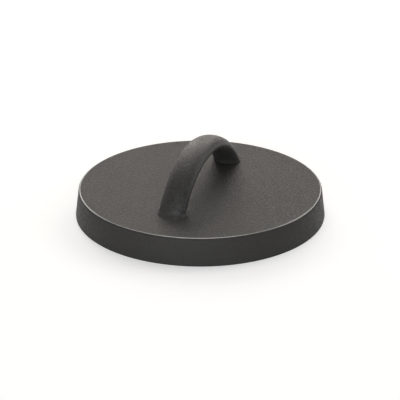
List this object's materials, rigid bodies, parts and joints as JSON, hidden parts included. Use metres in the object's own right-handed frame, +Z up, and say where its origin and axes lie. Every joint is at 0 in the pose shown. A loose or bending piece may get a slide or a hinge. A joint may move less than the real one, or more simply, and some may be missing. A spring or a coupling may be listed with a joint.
{
  "type": "burger press",
  "caption": "Round cast-iron burger press: a heavy flat-bottomed pressing plate with a rounded rim, and an arched oval handle screwed on from below.",
  "frame": {"origin": "centre of the flat pressing face, which is the bottom of the bounding box", "axes": "+Z up through the plate to the handle, square to the pressing face; the handle's arch spans X; Y is across the handle"},
  "size_m": [0.1398, 0.1398, 0.0434],
  "materials": {
    "plate_iron": "sand-cast, seasoned matt black-brown",
    "handle_iron": "sand-cast, seasoned matt black-brown",
    "screw_steel": "plain stainless steel"
  },
  "bodies": {
    "root": {"press_plate": "plate_iron", "handle": "handle_iron", "handle_screw_left": "screw_steel", "handle_screw_right": "screw_steel"}
  },
  "joints": []
}
